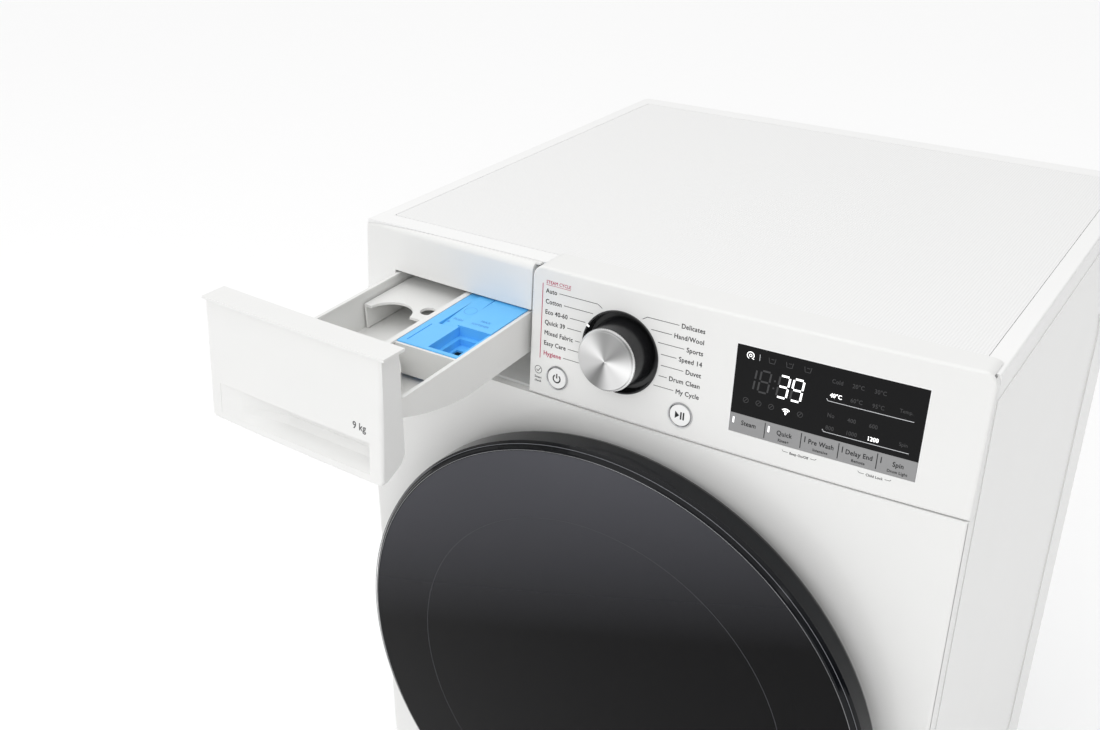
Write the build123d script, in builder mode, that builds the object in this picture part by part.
from build123d import *
from math import asin, cos, radians, sin, tan
import os

# Front load washing machine.  Millimetres, +Z up, -Y towards the user, origin on the floor under the
# middle of the cabinet.  At rest the door is shut and the detergent drawer stands open.

os.makedirs("parts", exist_ok=True)

# ---- driving dimensions ----------------------------------------------------------------------------
WIDTH = 600.0                 # cabinet width
REAR = 283.0                  # outermost sheet at the back
FACE = -288.0                 # crown of the bowed front face
BOW_RADIUS = 4500.0           # plan radius of the bowed front
TOP = 847.0                   # worktop surface
COVER_TOP = 850.0             # highest point, the rolled top of the control cover
SPLIT = 730.0                 # height where the control fascia starts
LEAN = 4.5                    # degrees that the fascia leans back
SEAM = -261.7                 # joint between the fascia and the worktop
SHEET = 1.2                   # steel sheet
WALL = 2.4                    # moulded plastic

AXIS_Z = 442.0                # height of the door and drum axis
DOOR_RADIUS = 270.0
HINGE_X, HINGE_Y = -252.0, -306.0
LATCH_X, LATCH_Y = 214.0, -302.0

COVER_LEFT, COVER_RIGHT = -96.4, 299.3
DIAL_X, DIAL_Z, DIAL_RADIUS = -4.7, 791.5, 37.4
POWER_X, POWER_Z = -65.9, 750.7
START_X, START_Z = 57.0, 751.1
KEY_HOLE = 11.0               # radius of the holes for the power and start keys
SCREEN_X0, SCREEN_X1, SCREEN_Z0, SCREEN_Z1 = 101.3, 254.5, 767.5, 827.0
STRIP_Z0 = 750.8

DRAWER_OPEN = 200.0           # how far the drawer stands out at rest
DRAWER_SAG = 7.5              # drop of its runners over that distance
DRAWER_X0, DRAWER_X1 = -299.0, -99.0
DRAWER_LOW, DRAWER_HIGH = 737.5, 849.8      # front of the shut drawer
BAY_X0, BAY_X1, BAY_TOP = -263.0, -97.5, 804.0
TRAY_X0, TRAY_X1, TRAY_DEPTH = -261.5, -102.0, 38.0
TRAY_FRONT, TRAY_BACK = -187.5, 95.0        # along the runners, from the fascia
DIVIDER_X0, DIVIDER_X1 = -177.0, -171.2

TUB_RADIUS, DRUM_RADIUS = 262.0, 237.0
MOUTH_RADIUS = 172.0          # loading opening in the front panel
DISH_RADIUS = 239.0           # recess in the front panel around it
DISH_Y = -272.0               # floor of that recess

# ---- derived planes --------------------------------------------------------------------------------
SLOPE = asin(DRAWER_SAG / DRAWER_OPEN)
DRAWER_DY = -DRAWER_OPEN * cos(SLOPE)
DRAWER_DZ = -DRAWER_SAG
UP_LEAN = (0, sin(radians(LEAN)), cos(radians(LEAN)))
LEANING = Plane(origin=(0, FACE, SPLIT), x_dir=(1, 0, 0), z_dir=UP_LEAN)
LEANING_OUT = Plane(origin=(0, FACE + DRAWER_DY, SPLIT + DRAWER_DZ), x_dir=(1, 0, 0), z_dir=UP_LEAN)
UPRIGHT = Plane(origin=(0, FACE, 0), x_dir=(1, 0, 0), z_dir=(0, 0, 1))
UPRIGHT_OUT = Plane(origin=(0, FACE + DRAWER_DY, DRAWER_DZ), x_dir=(1, 0, 0), z_dir=(0, 0, 1))
RUNNERS = Plane(origin=(0, -283, 801), x_dir=(1, 0, 0), z_dir=(0, -sin(SLOPE), cos(SLOPE)))
DOOR_AXIS = Axis((0, 0, AXIS_Z), (0, 1, 0))


def bow(x):
    """Set-back of the bowed front at a distance x from the middle."""
    return x * x / (2 * BOW_RADIUS)


def up_lean(z):
    """Distance up the leaning fascia at height z."""
    return (z - SPLIT) / cos(radians(LEAN))


def on_fascia(x, z):
    """Plane that touches the leaning bowed fascia, with its z axis pointing out."""
    turn = asin(x / BOW_RADIUS)
    back = bow(x) + (z - SPLIT) * tan(radians(LEAN))
    normal = (sin(turn), -cos(turn) * UP_LEAN[2], cos(turn) * UP_LEAN[1])
    across = (cos(turn), sin(turn) * UP_LEAN[2], -sin(turn) * UP_LEAN[1])
    return Plane(origin=(x, FACE + back, z), x_dir=across, z_dir=normal)


def save(piece, name):
    """Label one finished piece and write its STEP file."""
    piece.part.label = name
    export_step(piece.part, f"parts/{name}.step")


def block(x0, x1, y0, y1, z0, z1, mode=Mode.ADD):
    """Box between two corners."""
    with Locations(((x0 + x1) / 2, (y0 + y1) / 2, (z0 + z1) / 2)):
        Box(x1 - x0, y1 - y0, z1 - z0, mode=mode)


def rod_y(x, z, radius, y0, y1, mode=Mode.ADD):
    """Cylinder along Y."""
    with Locations((x, (y0 + y1) / 2, z)):
        Cylinder(radius, y1 - y0, rotation=(90, 0, 0), mode=mode)


def rod_z(x, y, radius, z0, z1, mode=Mode.ADD):
    """Cylinder along Z."""
    with Locations((x, y, (z0 + z1) / 2)):
        Cylinder(radius, z1 - z0, mode=mode)


def bowed(plane, x0, x1, recess, back, low, high, mode=Mode.ADD):
    """Prism on a plane whose front follows the bow, set back by recess, with a flat back."""
    middle = (x0 + x1) / 2
    with BuildSketch(plane.offset(low)) as plan:
        with BuildLine():
            ThreePointArc((x0, recess + bow(x0)), (middle, recess + bow(middle)), (x1, recess + bow(x1)))
            Polyline((x1, recess + bow(x1)), (x1, back), (x0, back), (x0, recess + bow(x0)))
        make_face()
    extrude(plan.sketch, amount=high - low, dir=plane.z_dir, mode=mode)


def turned(*profile, mode=Mode.ADD):
    """Ring or disc about the door axis from (radius, y) points."""
    with BuildSketch(Plane.XY.offset(AXIS_Z)) as section:
        with BuildLine():
            Polyline(*profile, close=True)
        make_face()
    revolve(section.sketch, axis=DOOR_AXIS, mode=mode)


def turned_on(plane, *profile, mode=Mode.ADD):
    """Ring or disc about a plane's z axis from (radius, height) points."""
    with BuildSketch(Plane(origin=plane.origin, x_dir=plane.x_dir, z_dir=-plane.y_dir)) as section:
        with BuildLine():
            Polyline(*profile, close=True)
        make_face()
    revolve(section.sketch, axis=Axis(plane.origin, plane.z_dir), mode=mode)


def side_profile(x0, x1, *outline, mode=Mode.ADD):
    """Prism along X from a (y, z) outline."""
    with BuildSketch(Plane.YZ.offset(x0)) as section:
        with BuildLine():
            Polyline(*outline, close=True)
        make_face()
    extrude(section.sketch, amount=x1 - x0, dir=(1, 0, 0), mode=mode)


# ==== cabinet =======================================================================================
HALF = WIDTH / 2
FOLD = 16.0                   # width of the folded edges
SIDE_LOW, SIDE_HIGH = 22.0, 826.0
REAR_SHEET_Y = 279.8

# folded side panels with a shallow pressed field
for side, name in ((-1, "side_panel_left"), (1, "side_panel_right")):
    with BuildPart() as side_panel:
        outer = side * HALF
        inner = side * (HALF - FOLD)
        skin = side * (HALF - SHEET)
        block(min(outer, inner), max(outer, inner), SEAM, REAR_SHEET_Y - 0.2, SIDE_LOW, SIDE_HIGH)
        block(min(skin, inner), max(skin, inner), SEAM + SHEET, REAR_SHEET_Y - 0.2 - SHEET,
              SIDE_LOW + SHEET, SIDE_HIGH - SHEET, mode=Mode.SUBTRACT)
        with BuildSketch(Plane(origin=(skin, 8, 430), x_dir=(0, 1, 0), z_dir=(1, 0, 0))):
            RectangleRounded(392, 612, 46)
        extrude(amount=-side * 1.5)
        with BuildSketch(Plane(origin=(outer, 8, 430), x_dir=(0, 1, 0), z_dir=(1, 0, 0))):
            RectangleRounded(388, 608, 44)
        extrude(amount=-side * 1.5, mode=Mode.SUBTRACT)
    save(side_panel, name)

# rear sheet with the service opening and holes for the water, drain and mains fittings
SERVICE_W, SERVICE_H = 330.0, 360.0
INLET_X, INLET_Z = 215.0, 772.0
DRAIN_X, DRAIN_Z = -215.0, 742.0
GLAND_X, GLAND_Z = -215.0, 790.0
BOLT_SPOTS = ((-215, 640), (215, 640), (-215, 300), (215, 300))
with BuildPart() as rear_panel:
    block(-HALF + 1.4, HALF - 1.4, REAR_SHEET_Y, REAR_SHEET_Y + SHEET, 23.4, SIDE_HIGH)
    with BuildSketch(Plane.XZ.offset(-REAR_SHEET_Y)):
        with Locations((0, AXIS_Z)):
            RectangleRounded(SERVICE_W - 24, SERVICE_H - 24, 40)
    extrude(amount=-SHEET, mode=Mode.SUBTRACT)
    rod_y(INLET_X, INLET_Z, 15, REAR_SHEET_Y - 1, REAR + 2, mode=Mode.SUBTRACT)
    rod_y(DRAIN_X, DRAIN_Z, 12.5, REAR_SHEET_Y - 1, REAR + 2, mode=Mode.SUBTRACT)
    rod_y(GLAND_X, GLAND_Z, 9.2, REAR_SHEET_Y - 1, REAR + 2, mode=Mode.SUBTRACT)
    for x, z in BOLT_SPOTS:
        rod_y(x, z, 11.5, REAR_SHEET_Y - 1, REAR + 2, mode=Mode.SUBTRACT)
save(rear_panel, "rear_panel")

# removable cover over the motor, with a raised bead
with BuildPart() as rear_service_cover:
    with BuildSketch(Plane.XZ.offset(-REAR_SHEET_Y - SHEET)):
        with Locations((0, AXIS_Z)):
            RectangleRounded(SERVICE_W, SERVICE_H, 46)
    extrude(amount=-1.0)
    with BuildSketch(Plane.XZ.offset(-REAR_SHEET_Y - SHEET - 1.0)):
        with Locations((0, AXIS_Z)):
            RectangleRounded(SERVICE_W - 70, SERVICE_H - 70, 40)
            RectangleRounded(SERVICE_W - 86, SERVICE_H - 86, 34, mode=Mode.SUBTRACT)
            Circle(62)
            Circle(54, mode=Mode.SUBTRACT)
    extrude(amount=-1.0)
save(rear_service_cover, "rear_service_cover")

# plugs in the transit bolt holes
with BuildPart() as transit_bolt_caps:
    for x, z in BOLT_SPOTS:
        rod_y(x, z, 11.3, REAR_SHEET_Y - 6, REAR_SHEET_Y + SHEET)
        rod_y(x, z, 16, REAR_SHEET_Y + SHEET, REAR)
save(transit_bolt_caps, "transit_bolt_caps")

# screws around the rear sheet and its cover
with BuildPart() as rear_screws:
    for x, z in [(sx * 288, z) for sx in (-1, 1) for z in (60, 240, 420, 600, 780)] + \
                [(sx * 153, AXIS_Z + sz * 168) for sx in (-1, 1) for sz in (-1, 1)]:
        on_cover = abs(x) < 200
        seat = REAR_SHEET_Y + SHEET + (1.0 if on_cover else 0)
        rod_y(x, z, 4.2, seat, seat + 1.0)
        rod_y(x, z, 1.2, seat + 0.4, seat + 1.2, mode=Mode.SUBTRACT)
save(rear_screws, "rear_screws")

# moulded base tray with corner bosses for the feet
FEET = [(sx * 252, sy * 228) for sx in (-1, 1) for sy in (-1, 1)]
BASE_Z = 23.4
with BuildPart() as base_pan:
    block(-298.4, 298.4, -258, 278, BASE_Z, 62)
    block(-295, 295, -254.6, 274.6, BASE_Z + 3, 63, mode=Mode.SUBTRACT)
    for x, y in FEET:
        rod_z(x, y, 20, BASE_Z, 48)
        rod_z(x, y, 5.3, BASE_Z - 1, 49, mode=Mode.SUBTRACT)
save(base_pan, "base_pan")

with BuildPart() as levelling_feet:
    for x, y in FEET:
        rod_z(x, y, 23, 0, 10)
        rod_z(x, y, 14, 10, 14)
        rod_z(x, y, 5.0, 14, 46)
        with BuildSketch(Plane.XY.offset(16)):
            with Locations((x, y)):
                RegularPolygon(10, 6)
        extrude(amount=6.5)
    fillet(levelling_feet.edges().filter_by(GeomType.CIRCLE).group_by(Axis.Z)[0], 2)
save(levelling_feet, "levelling_feet")

# two folded rails across the top, the front one with the spring hangers
SPRING_X, SPRING_Y = 196.0, 70.0
with BuildPart() as top_crossbars:
    for y in (SPRING_Y, 200.0):
        block(-296, 296, y - 22, y + 22, 818.4, 824.4)
        block(-297, 297, y - 20.8, y + 20.8, 817.4, 823.2, mode=Mode.SUBTRACT)
    for side in (-1, 1):
        block(side * SPRING_X - 10, side * SPRING_X + 10, SPRING_Y - 21, SPRING_Y + 21, 808, 824)
save(top_crossbars, "top_crossbars")

# bowed front panel: skin with returned edges, dished around the loading opening
PANEL_LOW = 30.0
HATCH_X0, HATCH_X1, HATCH_Z0, HATCH_Z1 = -262.0, -152.0, 52.0, 150.0
with BuildPart() as front_hollow:
    bowed(UPRIGHT, -HALF + 1.9, HALF - 1.9, SHEET, 40, PANEL_LOW + SHEET, SPLIT - 1.3 - SHEET)
    rod_y(0, AXIS_Z, DISH_RADIUS + SHEET, FACE - 5, FACE + 60, mode=Mode.SUBTRACT)
with BuildPart() as front_panel:
    bowed(UPRIGHT, -HALF + 0.7, HALF - 0.7, 0, SEAM - 0.4 - FACE, PANEL_LOW, SPLIT - 1.3)
    corners = front_panel.edges().filter_by(Axis.Z).group_by(Axis.Y)[0]
    fillet(corners, 5)
    add(front_hollow.part, mode=Mode.SUBTRACT)
    rod_y(0, AXIS_Z, DISH_RADIUS, FACE - 5, DISH_Y, mode=Mode.SUBTRACT)
    rod_y(0, AXIS_Z, DISH_RADIUS, DISH_Y + SHEET, SEAM + 5, mode=Mode.SUBTRACT)
    rod_y(0, AXIS_Z, MOUTH_RADIUS, FACE - 5, SEAM + 5, mode=Mode.SUBTRACT)
    turned((MOUTH_RADIUS, DISH_Y), (MOUTH_RADIUS + SHEET, DISH_Y),
           (MOUTH_RADIUS + SHEET, DISH_Y + 13), (MOUTH_RADIUS, DISH_Y + 13))
    block(HATCH_X0, HATCH_X1, FACE - 5, FACE + 20, HATCH_Z0, HATCH_Z1, mode=Mode.SUBTRACT)
    block(LATCH_X - 13, LATCH_X + 15, DISH_Y - 2, DISH_Y + 3, AXIS_Z - 12, AXIS_Z + 12, mode=Mode.SUBTRACT)
save(front_panel, "front_panel")

# flap over the drain filter, hinged along its lower edge
with BuildPart() as filter_hatch:
    bowed(UPRIGHT, HATCH_X0 + 0.8, HATCH_X1 - 0.8, 0, 16, HATCH_Z0 + 0.8, HATCH_Z1 - 0.8)
    fillet(filter_hatch.faces().sort_by(Axis.Y)[0].edges(), 0.8)
    block(HATCH_X0 + 3, HATCH_X1 - 3, FACE + 12, FACE + 20, HATCH_Z0 + 3, HATCH_Z1 - 3, mode=Mode.SUBTRACT)
    block(HATCH_X0 + 40, HATCH_X1 - 40, FACE - 5, FACE + 10.6, HATCH_Z1 - 9, HATCH_Z1, mode=Mode.SUBTRACT)
save(filter_hatch, "filter_hatch")

# ==== worktop =======================================================================================
SHEET_X, SHEET_Y0, SHEET_Y1 = 283.0, -241.0, 258.0
with BuildPart() as top_frame:
    block(-HALF + 0.7, HALF - 0.7, SEAM, REAR, SIDE_HIGH, TOP)
    fillet(top_frame.edges().filter_by(Axis.Z).group_by(Axis.Y)[-1], 8)
    fillet(top_frame.faces().sort_by(Axis.Z)[-1].edges().sort_by(Axis.Y)[1:], 2.2)
    block(-HALF + 4, HALF - 4, SEAM + 3.2, REAR - 3.4, SIDE_HIGH - 1, TOP - 5, mode=Mode.SUBTRACT)
    block(-SHEET_X, SHEET_X, SHEET_Y0, SHEET_Y1, TOP - 2, TOP + 1, mode=Mode.SUBTRACT)
    block(-103, COVER_LEFT, SEAM - 1, -255.5, SIDE_HIGH - 1, TOP - 1.4, mode=Mode.SUBTRACT)
save(top_frame, "top_frame")

with BuildPart() as top_sheet:
    block(-SHEET_X + 0.6, SHEET_X - 0.6, SHEET_Y0 + 0.6, SHEET_Y1 - 0.6, TOP - 1.9, TOP)
    fillet(top_sheet.edges().filter_by(Axis.Z), 3)
save(top_sheet, "top_sheet")

# ==== control fascia ================================================================================
FRAME_RECESS = 6.6            # the frame stands this far behind the cover's face
FRAME_TOP = TOP - 0.4
FRAME_X0, FRAME_X1 = -HALF + 0.7, -101.3
SLOT_ROOF_Y = -266.5          # front of the strip that closes the drawer cheek's slot from above
with BuildPart() as frame_hollow:
    bowed(LEANING, FRAME_X0 + WALL, FRAME_X1 - WALL, FRAME_RECESS + WALL, 90, -20, up_lean(FRAME_TOP - WALL))
with BuildPart() as fascia_frame:
    bowed(LEANING, FRAME_X0, FRAME_X1, FRAME_RECESS, 60, -20, 140)
    block(-400, 400, -400, SEAM - 0.4, SPLIT - 1.2, FRAME_TOP, mode=Mode.INTERSECT)
    front_top = fascia_frame.faces().sort_by(Axis.Y)[0].edges().sort_by(Axis.Z)[-1]
    fillet(front_top, 7)
    add(frame_hollow.part, mode=Mode.SUBTRACT)
    block(BAY_X0, BAY_X1, FACE - 5, SEAM + 5, SPLIT - 10, BAY_TOP, mode=Mode.SUBTRACT)
    block(FRAME_X1 - WALL, COVER_LEFT - 0.2, SLOT_ROOF_Y, SEAM - 0.4, FRAME_TOP - 1.5, FRAME_TOP)
save(fascia_frame, "fascia_frame")

# light collar just inside the drawer opening, its floor rising to the back
LINER_BACK = -226.0
LINER_LOW, LINER_TOP = SPLIT - 1.0, BAY_TOP + 3.0
with BuildPart() as bay_liner:
    block(BAY_X0 - 2.4, BAY_X1 + 0.9, FACE, LINER_BACK, LINER_LOW, LINER_TOP + 2.4)
    block(BAY_X0, BAY_X1 - 0.7, FACE - 1, LINER_BACK + 1, SPLIT + 1, LINER_TOP, mode=Mode.SUBTRACT)
    side_profile(BAY_X0 - 1, BAY_X1, (FACE, LINER_LOW), (FACE, SPLIT + 0.8), (-262, 734), (-246, 738),
                 (-235, 744), (-229, 752), (LINER_BACK, 756), (LINER_BACK, LINER_LOW))
    bowed(LEANING, BAY_X0 - 4, BAY_X1 + 4, FRAME_RECESS + 0.4, 100, -20, 100, mode=Mode.INTERSECT)
    block(BAY_X0 - 3, BAY_X0, FACE, FACE + 26, SPLIT - 2, COVER_TOP, mode=Mode.SUBTRACT)
    block(BAY_X0 - 3, BAY_X1 + 3, FACE, FACE + 26, BAY_TOP, COVER_TOP, mode=Mode.SUBTRACT)
    block(-103, BAY_X1 + 3, FACE, -255.5, BAY_TOP - 1, COVER_TOP, mode=Mode.SUBTRACT)
save(bay_liner, "bay_liner")

# raised control cover: one bowed, leaning shell whose top rolls back over the worktop seam
COVER_BACK = -242.0
with BuildPart() as cover_hollow:
    bowed(LEANING, COVER_LEFT + WALL, COVER_RIGHT - WALL, WALL, 90, -20, 140)
    block(-400, 400, -400, -150, 600, COVER_TOP - WALL, mode=Mode.INTERSECT)
with BuildPart() as fascia_cover:
    bowed(LEANING, COVER_LEFT, COVER_RIGHT, 0, 80, -20, 140)
    block(-400, 400, -400, COVER_BACK, SPLIT - 0.7, COVER_TOP, mode=Mode.INTERSECT)
    fillet(fascia_cover.edges().filter_by(Axis.Y).group_by(Axis.Z)[-1], 11)
    fillet(fascia_cover.faces().sort_by(Axis.Y)[0].edges(), 2.4)
    add(cover_hollow.part, mode=Mode.SUBTRACT)
    block(-400, 400, SEAM - 0.4, -200, SPLIT - 5, TOP + 0.2, mode=Mode.SUBTRACT)
    bowed(LEANING, SCREEN_X0 - 0.2, SCREEN_X1 + 0.2, -5, 30, up_lean(STRIP_Z0) - 0.2,
          up_lean(SCREEN_Z1) + 0.2, mode=Mode.SUBTRACT)
    for x, z, radius in ((DIAL_X, DIAL_Z, DIAL_RADIUS - 1.2), (POWER_X, POWER_Z, KEY_HOLE),
                         (START_X, START_Z, KEY_HOLE)):
        with BuildSketch(on_fascia(x, z).offset(-20)) as hole:
            Circle(radius)
        extrude(hole.sketch, amount=30, dir=on_fascia(x, z).z_dir, mode=Mode.SUBTRACT)
save(fascia_cover, "fascia_cover")

with BuildPart() as display_window:
    bowed(LEANING, SCREEN_X0, SCREEN_X1, 0, 10, up_lean(SCREEN_Z0), up_lean(SCREEN_Z1))
save(display_window, "display_window")

with BuildPart() as touch_strip:
    bowed(LEANING, SCREEN_X0, SCREEN_X1, 0, 10, up_lean(STRIP_Z0), up_lean(SCREEN_Z0) - 0.1)
save(touch_strip, "touch_strip")

# programme dial: fixed dish, tapered black skirt, metal cap and shaft
DIAL = on_fascia(DIAL_X, DIAL_Z)
DISH_FLOOR = -7.0
with BuildPart() as dial_bezel:
    turned_on(DIAL, (3.6, DISH_FLOOR - 1.6), (36.0, DISH_FLOOR - 1.6), (36.0, 0.1), (DIAL_RADIUS, 0.1),
              (DIAL_RADIUS, 0.6), (36.8, 1.0), (36.0, 0.9), (34.2, DISH_FLOOR), (3.6, DISH_FLOOR))
save(dial_bezel, "dial_bezel")

with BuildPart() as knob_skirt:
    turned_on(DIAL, (3.0, 14.0), (3.0, 2.0), (8.0, 2.0), (8.0, 15.0), (25.4, 15.0), (28.2, -6.2),
              (30.4, -6.2), (30.4, -5.2), (27.2, 18.0), (26.6, 20.9), (3.0, 20.9))
save(knob_skirt, "knob_skirt")

with BuildPart() as knob_cap:
    turned_on(DIAL, (0.0, 21.0), (26.9, 21.0), (27.1, 22.6), (26.2, 23.0), (26.0, 24.4), (25.4, 25.0),
              (0.0, 25.3))
save(knob_cap, "knob_cap")

with BuildPart() as knob_shaft:
    turned_on(DIAL, (0.0, -15.0), (2.95, -15.0), (2.95, 20.8), (0.0, 20.8))
save(knob_shaft, "knob_shaft")

# power and start keys with their trim rings
KEYS = (("power_button", POWER_X, POWER_Z), ("start_button", START_X, START_Z))
for name, x, z in KEYS:
    with BuildPart() as button:
        turned_on(on_fascia(x, z), (0.0, -10.0), (2.5, -10.0), (2.5, -2.6), (9.6, -2.6), (9.6, 0.5),
                  (9.2, 0.9), (0.0, 0.9))
    save(button, name)

with BuildPart() as button_rings:
    for name, x, z in KEYS:
        turned_on(on_fascia(x, z), (10.1, -3.2), (10.9, -3.2), (10.9, 0.2), (11.4, 0.2), (11.3, 0.7),
                  (10.5, 0.8), (10.1, 0.5))
save(button_rings, "button_rings")

# circuit board behind the cover, with the dial encoder and the two key switches
with BuildPart() as control_board:
    bowed(LEANING, -88, 272, 18, 30, 12, 90)
    bowed(LEANING, -90, 274, 19.6, 32, 10, 92, mode=Mode.SUBTRACT)
    turned_on(DIAL, (3.02, -22.0), (13.0, -22.0), (13.0, -10.0), (3.02, -10.0))
    for name, x, z in KEYS:
        turned_on(on_fascia(x, z), (0.0, -20.0), (3.5, -20.0), (3.5, -12.2), (0.0, -12.2))
save(control_board, "control_board")

# ==== detergent dispenser ===========================================================================
with BuildPart() as dispenser_housing:
    block(-267, -95.4, LINER_BACK + 0.3, 32, 722, 817.5)
    block(-264.2, -98.6, LINER_BACK - 5, 29, 742, 814.8, mode=Mode.SUBTRACT)
    rod_z(-180, -60, 24, 706, 724)
    rod_z(-180, -60, 21, 705, 745, mode=Mode.SUBTRACT)
    rod_y(-130, 790, 11, 31, 44)
    rod_y(-130, 790, 8, 20, 45, mode=Mode.SUBTRACT)
save(dispenser_housing, "dispenser_housing")


def runner_box(x0, x1, y0, y1, z0, z1, mode=Mode.ADD):
    """Box in the drawer's own frame: x across, y along the runners, z from the tray's rim."""
    with BuildSketch(RUNNERS.offset(z0)) as plan:
        with Locations(((x0 + x1) / 2, (y0 + y1) / 2)):
            Rectangle(x1 - x0, y1 - y0)
    extrude(plan.sketch, amount=z1 - z0, dir=RUNNERS.z_dir, mode=mode)


def hull(x0, x1, inset, rim, mode=Mode.ADD):
    """Boat-shaped side profile of the tray, drawn smaller by inset."""
    side = Plane(origin=RUNNERS.origin, x_dir=RUNNERS.y_dir, z_dir=(1, 0, 0)).offset(x0)
    keel = -TRAY_DEPTH + inset
    with BuildSketch(side) as section:
        with BuildLine():
            bow_line = ThreePointArc((TRAY_FRONT + inset, -9 + inset), (-146, -26 + inset), (-84, keel))
            Polyline(bow_line @ 1, (TRAY_BACK - inset, keel), (TRAY_BACK - inset, rim),
                     (TRAY_FRONT + inset, rim), bow_line @ 0)
        make_face()
    extrude(section.sketch, amount=x1 - x0, dir=(1, 0, 0), mode=mode)


CROSS_WALL = -94.0            # wall in front of the softener cup, along the runners
with BuildPart() as drawer_tray:
    hull(TRAY_X0, TRAY_X1, 0, 0)
    hull(TRAY_X0 + 2.2, DIVIDER_X0 + 1.2, 2.2, 10, mode=Mode.SUBTRACT)
    hull(DIVIDER_X1 - 1.2, TRAY_X1 - 2.2, 2.2, 10, mode=Mode.SUBTRACT)
    runner_box(DIVIDER_X0, DIVIDER_X1, TRAY_FRONT + 1, TRAY_BACK - 1, -2.2, 0)
    runner_box(TRAY_X0, TRAY_X0 + 3.6, TRAY_FRONT + 1, TRAY_BACK - 1, -2.2, 0)
    runner_box(TRAY_X1 - 3.6, TRAY_X1, TRAY_FRONT + 1, TRAY_BACK - 1, -2.2, 0)
    runner_box(DIVIDER_X1 - 2, TRAY_X1 - 1, CROSS_WALL - 2.4, CROSS_WALL, -30, -1.2)
    runner_box(-250, -190, 84, 96, -12, 2, mode=Mode.SUBTRACT)
save(drawer_tray, "drawer_tray")

# drawer front: bowed, leaning shell with a top flange, a right-hand cheek and a finger scoop
SCOOP_LOW, SCOOP_HIGH = 738.5, 766.0                      # heights on the open drawer
SCOOP = ((-112.0, 16.0), (-215.0, 16.0), (-262.0, 3.2), (-286.0, 0.3))     # x and depth
RIM = 6.2


def scoop(grow, mode):
    """Finger scoop, deepest under its upper edge and fading out to the left."""
    high = up_lean(SCOOP_HIGH - DRAWER_DZ) + grow
    low = up_lean(SCOOP_LOW - DRAWER_DZ) - grow
    front = 1.0 if mode == Mode.ADD else -6.0
    for (x0, deep0), (x1, deep1) in zip(SCOOP, SCOOP[1:]):
        ends = []
        for x, deep in ((x0 + (grow if x0 == SCOOP[0][0] else 0), deep0), (x1, deep1)):
            origin = LEANING_OUT.origin + Vector(x, 0, 0)
            section = Plane(origin=origin, x_dir=LEANING_OUT.y_dir, z_dir=(1, 0, 0))
            floor = bow(x) + deep + grow
            chamfer = bow(x) + deep * 0.72 + grow
            with BuildSketch(section) as end:
                with BuildLine():
                    Polyline((bow(x) + front, low), (bow(x) + grow + 0.2, low), (chamfer, low + 7 + grow),
                             (floor, low + 13 + grow), (floor, high), (bow(x) + front, high), close=True)
                make_face()
            ends.append(end.sketch.faces()[0])
        loft(ends, ruled=True, mode=mode)


with BuildPart() as front_skin:
    bowed(LEANING_OUT, DRAWER_X0, DRAWER_X1, 0, 80, -20, 140)
    block(-400, 0, -600, 0, DRAWER_LOW + DRAWER_DZ, DRAWER_HIGH + DRAWER_DZ, mode=Mode.INTERSECT)
    fillet(front_skin.edges().filter_by(Axis.Y), 5)
    fillet(front_skin.faces().sort_by(Axis.Y)[0].edges(), 3.2)
CHEEK_X0, CHEEK_BACK = DRAWER_X1 - 1.8, -257.0
FLANGE_X1, FLANGE_THICK = -93.4, 2.4
with BuildPart() as flange:
    bowed(UPRIGHT_OUT, DRAWER_X0 + 0.6, FLANGE_X1, 6, 80, DRAWER_HIGH - FLANGE_THICK, DRAWER_HIGH)
    bowed(UPRIGHT_OUT, DRAWER_X0 - 5, FLANGE_X1 + 5, CHEEK_BACK - FACE, 90, 700, 900, mode=Mode.SUBTRACT)
with BuildPart() as drawer_front:
    add(front_skin.part)
    bowed(LEANING_OUT, DRAWER_X0 - 9, DRAWER_X1 + 9, RIM, 90, -30, 150, mode=Mode.SUBTRACT)
    bowed(LEANING_OUT, DRAWER_X0 + 2, DRAWER_X1 - 2, 2.6, 90, up_lean(DRAWER_LOW) + 2,
          up_lean(DRAWER_HIGH) - 3, mode=Mode.SUBTRACT)
    add(flange.part)
    side_profile(CHEEK_X0, DRAWER_X1, *[(y + DRAWER_DY, z + DRAWER_DZ) for y, z in (
        (-281, 739.5), (-262, 748), (CHEEK_BACK, 755), (CHEEK_BACK, TOP - 2.4),
        (SLOT_ROOF_Y - 0.8, TOP - 2.4), (SLOT_ROOF_Y - 0.8, DRAWER_HIGH - 1), (-277, DRAWER_HIGH - 1))])
    scoop(2.2, Mode.ADD)
    scoop(0, Mode.SUBTRACT)
save(drawer_front, "drawer_front")

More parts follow.
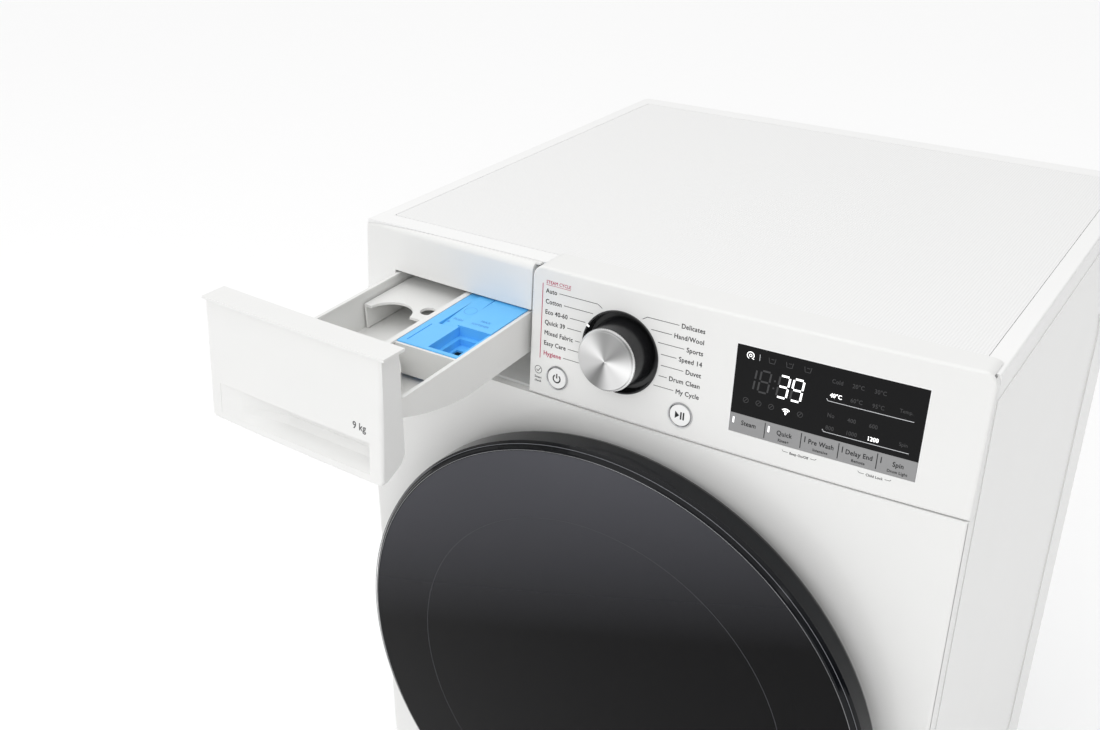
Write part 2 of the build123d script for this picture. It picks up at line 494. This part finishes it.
# blue siphon cover over the softener cup: raised plateau and stepped well on the right, release tab slot
COVER_X0, COVER_X1 = DIVIDER_X1 + 0.5, TRAY_X1 - 4.0
WELL_X0, WELL_Y0, WELL_Y1 = -140.0, -89.5, -46.0
TAB_X0, TAB_X1, TAB_Y0, TAB_Y1 = -160.0, -142.8, -50.0, 20.0
with BuildPart() as siphon_cover:
    runner_box(COVER_X0, COVER_X1, CROSS_WALL + 0.5, 84, -3.2, -0.4)
    runner_box(COVER_X0 + 0.7, COVER_X1 - 0.6, CROSS_WALL + 0.8, 83, -7.0, -3.2)
    runner_box(COVER_X0 + 2.5, COVER_X1 - 2.4, CROSS_WALL + 3, 81, -8.0, -3.2, mode=Mode.SUBTRACT)
    runner_box(WELL_X0 - 1.6, COVER_X1 - 0.6, WELL_Y0 - 1.6, WELL_Y1 + 1.6, -17, -3.2)
    runner_box(WELL_X0 - 1.6, COVER_X1, WELL_Y1, 84, -1, 1.0)
    runner_box(WELL_X0, COVER_X1 - 2.0, WELL_Y0, WELL_Y1, -9, 2, mode=Mode.SUBTRACT)
    runner_box(WELL_X0 + 4, COVER_X1 - 4.0, WELL_Y0 + 3, WELL_Y1 - 5, -15, 2, mode=Mode.SUBTRACT)
    runner_box(WELL_X0 + 7, COVER_X1 - 6.0, WELL_Y0 + 5, WELL_Y1 - 14, -18, 2, mode=Mode.SUBTRACT)
    runner_box(TAB_X0, TAB_X1, TAB_Y0, TAB_Y1, -4, 1, mode=Mode.SUBTRACT)
    runner_box(COVER_X0 + 6, COVER_X0 + 7.2, -88, TAB_Y0 - 4, -1.2, 2, mode=Mode.SUBTRACT)
    fillet(siphon_cover.edges().group_by(Axis.Y)[0].filter_by(Axis.X), 0.8)
save(siphon_cover, "siphon_cover")

TAB_GAP = 0.6
with BuildPart() as release_tab:
    runner_box(TAB_X0 + TAB_GAP, TAB_X1 - TAB_GAP, TAB_Y0 + TAB_GAP, TAB_Y1 - TAB_GAP, -4.0, -2.6)
    side = Plane(origin=RUNNERS.origin, x_dir=RUNNERS.y_dir, z_dir=(1, 0, 0)).offset(TAB_X0 + TAB_GAP)
    with BuildSketch(side) as wedge:
        with BuildLine():
            Polyline((TAB_Y0 + TAB_GAP, -2.8), (8, 0.6), (14, 0.6), (TAB_Y1 - TAB_GAP, -1.2),
                     (TAB_Y1 - TAB_GAP, -2.8), close=True)
        make_face()
    extrude(wedge.sketch, amount=TAB_X1 - TAB_X0 - 2 * TAB_GAP, dir=(1, 0, 0))
save(release_tab, "release_tab")

# liquid detergent insert in the left compartment: a plate on two side legs with pouring openings
INSERT_X0, INSERT_X1, INSERT_Y0, INSERT_Y1 = TRAY_X0 + 4.2, DIVIDER_X0 - 0.6, -38.0, 80.0
LEG = 2.0
with BuildPart() as liquid_insert:
    runner_box(INSERT_X0, INSERT_X1, INSERT_Y0, INSERT_Y1, -13, -10.6)
    for x in (INSERT_X0, INSERT_X1 - LEG):
        runner_box(x, x + LEG, INSERT_Y0, INSERT_Y1, -35, -10.6)
    for x, y, radius in ((-226, -42, 23), (-196, -20, 7.5)):
        with BuildSketch(RUNNERS.offset(-15)) as hole:
            with Locations((x, y)):
                Circle(radius)
        extrude(hole.sketch, amount=8, dir=RUNNERS.z_dir, mode=Mode.SUBTRACT)
    runner_box(-190, -184, -34, -30, -14, -9, mode=Mode.SUBTRACT)
save(liquid_insert, "liquid_insert")

# water inlet valve with its threaded nose at the back
with BuildPart() as inlet_valve:
    block(INLET_X - 21, INLET_X + 21, 232, REAR_SHEET_Y - 2, INLET_Z - 18, INLET_Z + 18)
    rod_y(INLET_X, INLET_Z, 13.2, REAR_SHEET_Y - 2, REAR + 13)
    rod_y(INLET_X, INLET_Z, 7.5, REAR_SHEET_Y - 6, REAR + 14, mode=Mode.SUBTRACT)
    rod_y(INLET_X, INLET_Z, 7, 214, 232)
save(inlet_valve, "inlet_valve")

# hose from the dispenser down to the tub
with BuildPart() as dispenser_hose:
    with BuildSketch(Plane(origin=(-180, -60, 705.5))) as top_ring:
        Circle(24)
        Circle(21, mode=Mode.SUBTRACT)
    extrude(top_ring.sketch, amount=-43.5)
save(dispenser_hose, "dispenser_hose")

# ==== tub, drum and drive ===========================================================================
TUB_FRONT, TUB_SPLIT, TUB_BACK = -232.0, 8.0, 196.0
NECK = 186.0
with BuildPart() as tub_front:
    turned((NECK, TUB_FRONT - 8), (NECK + 4, TUB_FRONT - 8), (NECK + 4, TUB_FRONT),
           (TUB_RADIUS - 16, TUB_FRONT), (TUB_RADIUS, TUB_FRONT + 16), (TUB_RADIUS, TUB_SPLIT - 8),
           (TUB_RADIUS + 6, TUB_SPLIT - 8), (TUB_RADIUS + 6, TUB_SPLIT), (TUB_RADIUS - 4, TUB_SPLIT),
           (TUB_RADIUS - 4, TUB_FRONT + 18),
           (TUB_RADIUS - 18, TUB_FRONT + 4), (NECK, TUB_FRONT + 4))
    rod_z(-180, -60, 20.5, 590, 674)
    rod_y(0, AXIS_Z, TUB_RADIUS - 4, TUB_FRONT + 30, TUB_SPLIT, mode=Mode.SUBTRACT)
    rod_z(-180, -60, 17.5, 580, 675, mode=Mode.SUBTRACT)
save(tub_front, "tub_front")

BEARING_RADIUS, SHAFT_RADIUS = 31.0, 15.0
DAMPER_X, DAMPER_Y = 150.0, 32.0
with BuildPart() as tub_rear:
    turned((TUB_RADIUS + 6, TUB_SPLIT + 0.2), (TUB_RADIUS + 6, TUB_SPLIT + 8), (TUB_RADIUS, TUB_SPLIT + 8),
           (TUB_RADIUS, TUB_BACK - 12), (TUB_RADIUS - 12, TUB_BACK), (56, TUB_BACK), (52, TUB_BACK + 22),
           (BEARING_RADIUS, TUB_BACK + 22), (BEARING_RADIUS, TUB_BACK - 26), (60, TUB_BACK - 26),
           (70, TUB_BACK - 5), (TUB_RADIUS - 14, TUB_BACK - 5), (TUB_RADIUS - 4, TUB_BACK - 14),
           (TUB_RADIUS - 4, TUB_SPLIT + 0.2))
    for side in (-1, 1):
        block(side * SPRING_X - 12, side * SPRING_X + 12, SPRING_Y - 12, SPRING_Y + 12,
              AXIS_Z + 165, AXIS_Z + 215)
        block(side * DAMPER_X - 14, side * DAMPER_X + 14, DAMPER_Y - 10, DAMPER_Y + 10,
              AXIS_Z - 232, AXIS_Z - 205)
    rod_y(0, AXIS_Z, TUB_RADIUS - 3.8, TUB_SPLIT, TUB_BACK - 14, mode=Mode.SUBTRACT)
save(tub_rear, "tub_rear")

with BuildPart() as shaft_bearings:
    for y in (TUB_BACK - 25, TUB_BACK + 4):
        turned((SHAFT_RADIUS, y), (BEARING_RADIUS, y), (BEARING_RADIUS, y + 16), (SHAFT_RADIUS, y + 16))
save(shaft_bearings, "shaft_bearings")

# counterweights: two half rings bolted to the front of the tub
with BuildPart() as counterweights:
    turned((206, TUB_FRONT - 24), (250, TUB_FRONT - 24), (250, TUB_FRONT - 1), (206, TUB_FRONT - 1))
    block(-300, 300, -300, -200, AXIS_Z - 62, AXIS_Z + 62, mode=Mode.SUBTRACT)
save(counterweights, "counterweights")

# drum: perforated shell with rolled mouth, three lifters, spider and shaft
DRUM_FRONT, DRUM_BACK, DRUM_MOUTH, DRUM_SHEET = -212.0, 152.0, 178.0, 1.5
with BuildPart() as drum:
    turned((DRUM_MOUTH, DRUM_FRONT), (DRUM_RADIUS - 22, DRUM_FRONT), (DRUM_RADIUS, DRUM_FRONT + 22),
           (DRUM_RADIUS, DRUM_BACK), (0, DRUM_BACK), (0, DRUM_BACK - DRUM_SHEET),
           (DRUM_RADIUS - DRUM_SHEET, DRUM_BACK - DRUM_SHEET), (DRUM_RADIUS - DRUM_SHEET, DRUM_FRONT + 23),
           (DRUM_RADIUS - 23, DRUM_FRONT + DRUM_SHEET), (DRUM_MOUTH, DRUM_FRONT + DRUM_SHEET))
save(drum, "drum")

with BuildPart() as drum_lifters:
    with BuildPart(mode=Mode.PRIVATE) as lifter:
        base = DRUM_RADIUS - 2.0
        with BuildSketch(Plane.XZ.offset(160)):
            with BuildLine():
                Polyline((-30, -base * 0.9905), (30, -base * 0.9905), (17, -base + 42), (8, -base + 52),
                         (-8, -base + 52), (-17, -base + 42), close=True)
            make_face()
        extrude(amount=-270, taper=0)
        fillet(lifter.edges().filter_by(Axis.Y), 4)
    for turn in (0, 120, 240):
        add(lifter.part.rotate(Axis.Y, turn).moved(Location((0, 0, AXIS_Z))))
save(drum_lifters, "drum_lifters")

with BuildPart() as drum_spider:
    turned((0, DRUM_BACK + 0.2), (40, DRUM_BACK + 0.2), (34, DRUM_BACK + 17),
           (SHAFT_RADIUS - 0.02, DRUM_BACK + 17), (SHAFT_RADIUS - 0.02, 250), (0, 250))
    for turn in (90, 210, 330):
        with Locations(Location((0, 0, AXIS_Z)) * Location((0, 0, 0), (0, turn, 0))
                       * Location((DRUM_RADIUS / 2, DRUM_BACK + 6.5, 0))):
            Box(DRUM_RADIUS - 24, 12, 34)
save(drum_spider, "drum_spider")

with BuildPart() as motor_stator:
    turned((64, TUB_BACK + 6), (118, TUB_BACK + 6), (118, TUB_BACK + 34), (64, TUB_BACK + 34))
    turned((58, TUB_BACK + 0.2), (72, TUB_BACK + 0.2), (72, TUB_BACK + 6), (58, TUB_BACK + 6))
save(motor_stator, "motor_stator")

with BuildPart() as motor_rotor:
    turned((SHAFT_RADIUS + 0.02, 238), (136, 238), (136, TUB_BACK + 10), (120, TUB_BACK + 10), (120, 235),
           (SHAFT_RADIUS + 0.02, 230))
save(motor_rotor, "motor_rotor")

# suspension: two springs from the crossbars, two friction dampers to the base
with BuildPart() as suspension_springs:
    for side in (-1, 1):
        rod_z(side * SPRING_X, SPRING_Y, 14, AXIS_Z + 215.1, 807.9)
        rod_z(side * SPRING_X, SPRING_Y, 11, AXIS_Z + 215, 808, mode=Mode.SUBTRACT)
save(suspension_springs, "suspension_springs")

with BuildPart() as damper_cylinders:
    for side in (-1, 1):
        rod_z(side * DAMPER_X, DAMPER_Y, 17, BASE_Z + 3.1, 140)
        rod_z(side * DAMPER_X, DAMPER_Y, 12.5, 40, 141, mode=Mode.SUBTRACT)
save(damper_cylinders, "damper_cylinders")

with BuildPart() as damper_rods:
    for side in (-1, 1):
        rod_z(side * DAMPER_X, DAMPER_Y, 12.0, 70, 132)
        rod_z(side * DAMPER_X, DAMPER_Y, 6.0, 132, AXIS_Z - 232.2)
save(damper_rods, "damper_rods")

# bellows between the loading opening and the tub
with BuildPart() as door_gasket:
    turned((158, DISH_Y - 1.5), (170, DISH_Y - 2.5), (171.4, DISH_Y), (171.4, DISH_Y + 15),
           (181, DISH_Y + 19), (181, TUB_FRONT - 16), (177, TUB_FRONT - 10), (177, TUB_FRONT + 9),
           (173, TUB_FRONT + 10),
           (173, TUB_FRONT - 12), (177, TUB_FRONT - 17), (177, DISH_Y + 22), (166, DISH_Y + 19),
           (163, DISH_Y + 6), (158, DISH_Y + 2))
save(door_gasket, "door_gasket")

# ==== door ==========================================================================================
RING_BACK, RING_FRONT = -291.2, -327.0
ARM_Z = (AXIS_Z - 40, AXIS_Z + 40)
ARM_HALF = 5.0                # half height of a hinge arm
PIN_RADIUS, LATCH_PIN = 3.0, 1.5


def hinge_notches(reach):
    """Room in the door for the two hinge arms to swing."""
    for z in ARM_Z:
        block(-300, HINGE_X + reach, HINGE_Y - 18, FACE + 30, z - ARM_HALF - 1.5, z + ARM_HALF + 1.5,
              mode=Mode.SUBTRACT)


with BuildPart() as door_ring:
    turned((257, RING_BACK), (263, RING_BACK - 0.4), (269, -299), (DOOR_RADIUS, -302), (DOOR_RADIUS, -320.5),
           (DOOR_RADIUS - 0.8, -322), (265.2, RING_FRONT + 0.5), (264.2, RING_FRONT), (262.8, RING_FRONT),
           (262.8, -322.8), (258, -322.8), (258, -320.4), (266.6, -320.4), (266.6, -303),
           (257, RING_BACK - 4))
    hinge_notches(36)
save(door_ring, "door_ring")

with BuildPart() as door_glass:
    with BuildSketch(Plane.XY.offset(AXIS_Z)) as section:
        with BuildLine():
            dome = ThreePointArc((0, -330.0), (140, -329.2), (262.5, -327.0))
            Polyline(dome @ 1, (262.5, -323.2), (140, -325.0), (0, -325.8), dome @ 0)
        make_face()
    revolve(section.sketch, axis=DOOR_AXIS)
save(door_glass, "door_glass")

with BuildPart() as door_back_frame:
    turned((194, -299), (198, -296), (248, -294.5), (256.6, RING_BACK - 1), (256.6, RING_BACK - 4.5),
           (248, -297.5), (200, -299), (200, -301.6), (194, -301.6))
    hinge_notches(36)
    block(LATCH_X - 12, LATCH_X + 14, -310, -290, AXIS_Z - 12, AXIS_Z + 12, mode=Mode.SUBTRACT)
    for side in (-1, 1):
        lug = AXIS_Z + side * 14
        block(LATCH_X - 12, LATCH_X + 14, LATCH_Y - 5, -297, lug - 2, lug + 2)
        rod_z(LATCH_X, LATCH_Y, LATCH_PIN, lug - 2, lug + 2, mode=Mode.SUBTRACT)
save(door_back_frame, "door_back_frame")

with BuildPart() as door_bowl:
    turned((0, -196), (112, -198), (128, -206), (148, -282), (152, -301.8), (193.6, -301.8), (193.6, -306.8),
           (147, -306.8), (142.6, -282), (124, -211), (110, -203), (0, -201))
save(door_bowl, "door_bowl")

# hinge: bracket on the front panel with two goose-neck arms, knuckles and pins in the door
with BuildPart() as hinge_bracket:
    block(-230, -196, DISH_Y - 3.2, DISH_Y - 0.1, AXIS_Z - 58, AXIS_Z + 58)
    for z in ARM_Z:
        rod_z(HINGE_X, HINGE_Y, 7, z - ARM_HALF, z + ARM_HALF)
        block(HINGE_X - 4, HINGE_X + 4, HINGE_Y, -282.4, z - ARM_HALF, z + ARM_HALF)
        block(HINGE_X - 4, -226, -287.2, -282.4, z - ARM_HALF, z + ARM_HALF)
        block(-231.5, -226, -287.2, DISH_Y - 1, z - ARM_HALF, z + ARM_HALF)
        rod_z(HINGE_X, HINGE_Y, PIN_RADIUS + 0.05, z - 10, z + 10, mode=Mode.SUBTRACT)
save(hinge_bracket, "hinge_bracket")

with BuildPart() as hinge_knuckles:
    for z in ARM_Z:
        for side in (-1, 1):
            low = z + side * 9 - 2
            block(HINGE_X - 7, HINGE_X + 14, HINGE_Y - 8, HINGE_Y + 5, low, low + 4)
        block(HINGE_X + 40, HINGE_X + 44, HINGE_Y - 8, HINGE_Y + 4, z - 11, z + 11)
        block(HINGE_X - 7, HINGE_X + 44, HINGE_Y - 12, HINGE_Y - 8, z + 7, z + 11)
        block(HINGE_X - 7, HINGE_X + 44, HINGE_Y - 12, HINGE_Y - 8, z - 11, z - 7)
        rod_z(HINGE_X, HINGE_Y, PIN_RADIUS + 0.02, z - 14, z + 14, mode=Mode.SUBTRACT)
save(hinge_knuckles, "hinge_knuckles")

with BuildPart() as door_pins:
    for z in ARM_Z:
        rod_z(HINGE_X, HINGE_Y, PIN_RADIUS, z - 11, z + 11)
        rod_z(HINGE_X, HINGE_Y, PIN_RADIUS + 1.4, z + 11, z + 12.5)
    rod_z(LATCH_X, LATCH_Y, LATCH_PIN, AXIS_Z - 16, AXIS_Z + 16)
save(door_pins, "door_pins")

# latch hook in the door and its lock behind the front panel
with BuildPart() as latch_hook:
    rod_z(LATCH_X, LATCH_Y, 4, AXIS_Z - 8, AXIS_Z + 8)
    block(LATCH_X - 2.5, LATCH_X + 2.5, LATCH_Y, -252, AXIS_Z - 7, AXIS_Z + 7)
    block(LATCH_X - 2.5, LATCH_X + 7, -262, -252, AXIS_Z - 7, AXIS_Z + 7)
    rod_z(LATCH_X, LATCH_Y, LATCH_PIN + 0.05, AXIS_Z - 9, AXIS_Z + 9, mode=Mode.SUBTRACT)
save(latch_hook, "latch_hook")

with BuildPart() as door_lock:
    block(LATCH_X - 17, LATCH_X + 21, DISH_Y + SHEET + 0.1, -243, AXIS_Z - 30, AXIS_Z + 30)
    block(LATCH_X - 14, LATCH_X + 16, DISH_Y, -246, AXIS_Z - 13, AXIS_Z + 13, mode=Mode.SUBTRACT)
save(door_lock, "door_lock")

# ==== drain =========================================================================================
PUMP_X, PUMP_Z = -207.0, 101.0
with BuildPart() as drain_pump:
    rod_y(PUMP_X, PUMP_Z, 37, -262, -150)
    rod_y(PUMP_X, PUMP_Z, 32.5, -264, -158, mode=Mode.SUBTRACT)
    rod_y(PUMP_X, PUMP_Z, 24, -150, -96)
    rod_y(PUMP_X, PUMP_Z, 3.05, -159, -140, mode=Mode.SUBTRACT)
    block(PUMP_X - 30, PUMP_X + 30, -200, -160, BASE_Z + 3.1, PUMP_Z - 34)
save(drain_pump, "drain_pump")

with BuildPart() as pump_impeller:
    rod_y(PUMP_X, PUMP_Z, 3.0, -176, -142)
    rod_y(PUMP_X, PUMP_Z, 8, -178, -161)
    block(PUMP_X - 26, PUMP_X + 26, -178, -162, PUMP_Z - 1.5, PUMP_Z + 1.5)
    block(PUMP_X - 1.5, PUMP_X + 1.5, -178, -162, PUMP_Z - 26, PUMP_Z + 26)
save(pump_impeller, "pump_impeller")

with BuildPart() as filter_plug:
    rod_y(PUMP_X, PUMP_Z, 32.0, -258, -246)
    rod_y(PUMP_X, PUMP_Z, 35, -264.5, -262.4)
    rod_y(PUMP_X, PUMP_Z, 30, -262.6, -257)
    block(PUMP_X - 24, PUMP_X + 24, -272, -264, PUMP_Z - 4, PUMP_Z + 4)
    rod_y(PUMP_X, PUMP_Z, 20, -246, -200)
    rod_y(PUMP_X, PUMP_Z, 17.5, -246, -199, mode=Mode.SUBTRACT)
save(filter_plug, "filter_plug")

# drain spigot and mains gland on the back
with BuildPart() as rear_fittings:
    rod_y(DRAIN_X, DRAIN_Z, 17, REAR_SHEET_Y - 4, REAR_SHEET_Y - 0.2)
    rod_y(DRAIN_X, DRAIN_Z, 11, REAR_SHEET_Y - 30, REAR + 15)
    rod_y(DRAIN_X, DRAIN_Z, 8.5, REAR_SHEET_Y - 31, REAR + 16, mode=Mode.SUBTRACT)
    rod_y(GLAND_X, GLAND_Z, 9.0, REAR_SHEET_Y - 12, REAR_SHEET_Y + SHEET)
    rod_y(GLAND_X, GLAND_Z, 12, REAR_SHEET_Y + SHEET, REAR + 3)
    rod_y(GLAND_X, GLAND_Z, 4.5, REAR_SHEET_Y - 13, REAR + 4, mode=Mode.SUBTRACT)
save(rear_fittings, "rear_fittings")
